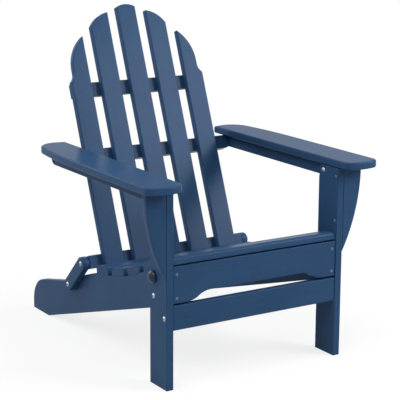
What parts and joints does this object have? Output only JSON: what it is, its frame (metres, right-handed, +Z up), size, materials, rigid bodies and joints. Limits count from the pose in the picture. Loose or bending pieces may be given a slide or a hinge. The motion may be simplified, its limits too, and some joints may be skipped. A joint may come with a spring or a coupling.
{
  "type": "folding adirondack chair",
  "caption": "Folding adirondack garden chair of plastic boards: slatted round-topped back, contoured seat, wide flat arms on curved brackets, pivoting legs and links.",
  "frame": {"origin": "centre of the bounding box on the floor", "axes": "+Z up, the chair faces -Y, +X to the right seen from the front"},
  "size_m": [0.754, 0.9359, 0.9701],
  "materials": {
    "board": "navy blue plastic lumber, satin with a faint grain",
    "steel": "stainless, satin",
    "screw": "coated in the board's navy blue",
    "knob": "black moulded plastic"
  },
  "bodies": {
    "seat_frame": {"side_rail_left": "board", "side_rail_right": "board", "apron": "board", "seat_slat_1": "board", "seat_slat_2": "board", "seat_slat_3": "board", "seat_slat_4": "board", "seat_slat_5": "board", "seat_screws": "screw", "apron_screws": "screw", "leg_pivot_bolts": "steel", "leg_pivot_nuts": "steel", "link_pivot_bolts": "steel", "link_pivot_nuts": "steel"},
    "front_legs": {"leg_left": "board", "leg_right": "board", "stretcher": "board", "bracket_left": "board", "bracket_right": "board", "stretcher_bolts": "steel", "bracket_screws": "screw", "arm_pivot_bolts": "steel", "arm_pivot_nuts": "steel"},
    "left_arm": {"arm_left": "board", "arm_rail_left": "board", "arm_screws_left": "screw"},
    "right_arm": {"arm_right": "board", "arm_rail_right": "board", "arm_screws_right": "screw"},
    "back": {"back_slat_1": "board", "back_slat_2": "board", "back_slat_3": "board", "back_slat_4": "board", "back_slat_5": "board", "brace_upper": "board", "brace_middle": "board", "brace_lower": "board", "back_screws": "screw", "back_pivot_bolts": "screw"},
    "left_link": {"link_left": "board", "link_bolt_left": "steel"},
    "right_link": {"link_right": "board", "link_bolt_right": "steel"},
    "left_knob": {"knob_left": "knob", "knob_stud_left": "steel"},
    "right_knob": {"knob_right": "knob", "knob_stud_right": "steel"}
  },
  "joints": [
    {"name": "legs_fold", "type": "hinge", "parent": "seat_frame", "child": "front_legs", "pos_m": [0, -0.341, 0.2524], "axis": [1, 0, 0], "range_deg": [0, 78]},
    {"name": "left_arm_pivot", "type": "hinge", "parent": "front_legs", "child": "left_arm", "pos_m": [-0.3035, -0.341, 0.5405], "axis": [1, 0, 0], "range_deg": [-64.87, 0]},
    {"name": "right_arm_pivot", "type": "hinge", "parent": "front_legs", "child": "right_arm", "pos_m": [0.3035, -0.341, 0.5405], "axis": [1, 0, 0], "range_deg": [-64.87, 0]},
    {"name": "back_pivot", "type": "hinge", "parent": "left_arm", "child": "back", "pos_m": [0, 0.205, 0.53013], "axis": [1, 0, 0], "range_deg": [0, 69.22]},
    {"name": "left_link_pivot", "type": "hinge", "parent": "seat_frame", "child": "left_link", "pos_m": [-0.281, 0.1766, 0.1535], "axis": [1, 0, 0], "range_deg": [-50, 0]},
    {"name": "right_link_pivot", "type": "hinge", "parent": "seat_frame", "child": "right_link", "pos_m": [0.281, 0.1766, 0.1535], "axis": [1, 0, 0], "range_deg": [-50, 0]},
    {"name": "left_knob_pull", "type": "slide", "parent": "front_legs", "child": "left_knob", "axis": [-1, 0, 0], "range_m": [0, 0.02]},
    {"name": "right_knob_pull", "type": "slide", "parent": "front_legs", "child": "right_knob", "axis": [1, 0, 0], "range_m": [0, 0.02]}
  ],
  "couplings": [
    {"joint": "left_arm_pivot", "follows": "legs_fold", "ratio": -0.83167},
    {"joint": "right_arm_pivot", "follows": "legs_fold", "ratio": -0.83167},
    {"joint": "back_pivot", "follows": "legs_fold", "ratio": 0.88743},
    {"joint": "left_link_pivot", "follows": "legs_fold", "ratio": -0.64102},
    {"joint": "right_link_pivot", "follows": "legs_fold", "ratio": -0.64102}
  ]
}
